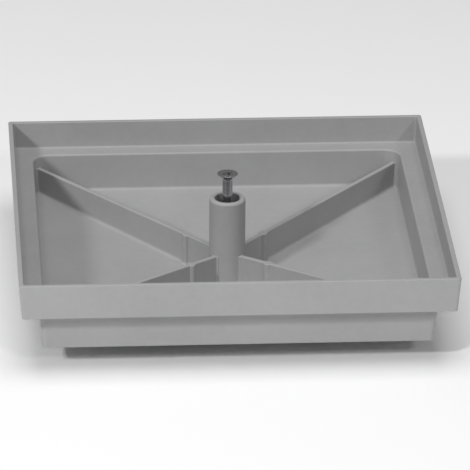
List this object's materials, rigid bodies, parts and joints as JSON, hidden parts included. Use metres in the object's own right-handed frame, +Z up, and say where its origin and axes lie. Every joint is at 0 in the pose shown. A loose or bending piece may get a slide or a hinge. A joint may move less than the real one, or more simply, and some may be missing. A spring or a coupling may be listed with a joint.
{
  "type": "oil drain pan",
  "caption": "Square moulded tray with a raised rim, a dished well, diagonal ribs and a hollow centre post that holds a long captive countersunk screw.",
  "frame": {"origin": "on the surface that the pan stands on, at the middle of its square outline, straight below the screw's axis", "axes": "+Z up along the screw's axis, +X to the right and +Y to the rear, both parallel to the sides of the rim"},
  "size_m": [0.25, 0.25, 0.0723],
  "materials": {
    "moulding": "fine matt moulded grain",
    "insert": "turned",
    "ring": "smooth",
    "screw": "plated, lightly oiled"
  },
  "bodies": {
    "pan": {"rim_frame": "moulding", "well": "moulding", "rib_front_left": "moulding", "rib_front_right": "moulding", "rib_rear_left": "moulding", "rib_rear_right": "moulding", "centre_post": "moulding", "foot_front_left": "moulding", "foot_front_right": "moulding", "foot_rear_left": "moulding", "foot_rear_right": "moulding", "threaded_insert": "insert"},
    "screw_ring": {"retaining_ring": "ring"},
    "screw": {"fixing_screw": "screw"}
  },
  "joints": [
    {"name": "screw_advance", "type": "slide", "parent": "pan", "child": "screw_ring", "axis": [0, 0, -1], "range_m": [-0.003, 0.02725]},
    {"name": "screw_turn", "type": "hinge", "parent": "screw_ring", "child": "screw", "pos_m": [0, 0, 0.0395], "axis": [0, 0, -1], "range_deg": [-1080.5, 9811]}
  ],
  "couplings": [
    {"joint": "screw_turn", "follows": "screw_advance", "rad_per_m": 6283.2}
  ]
}
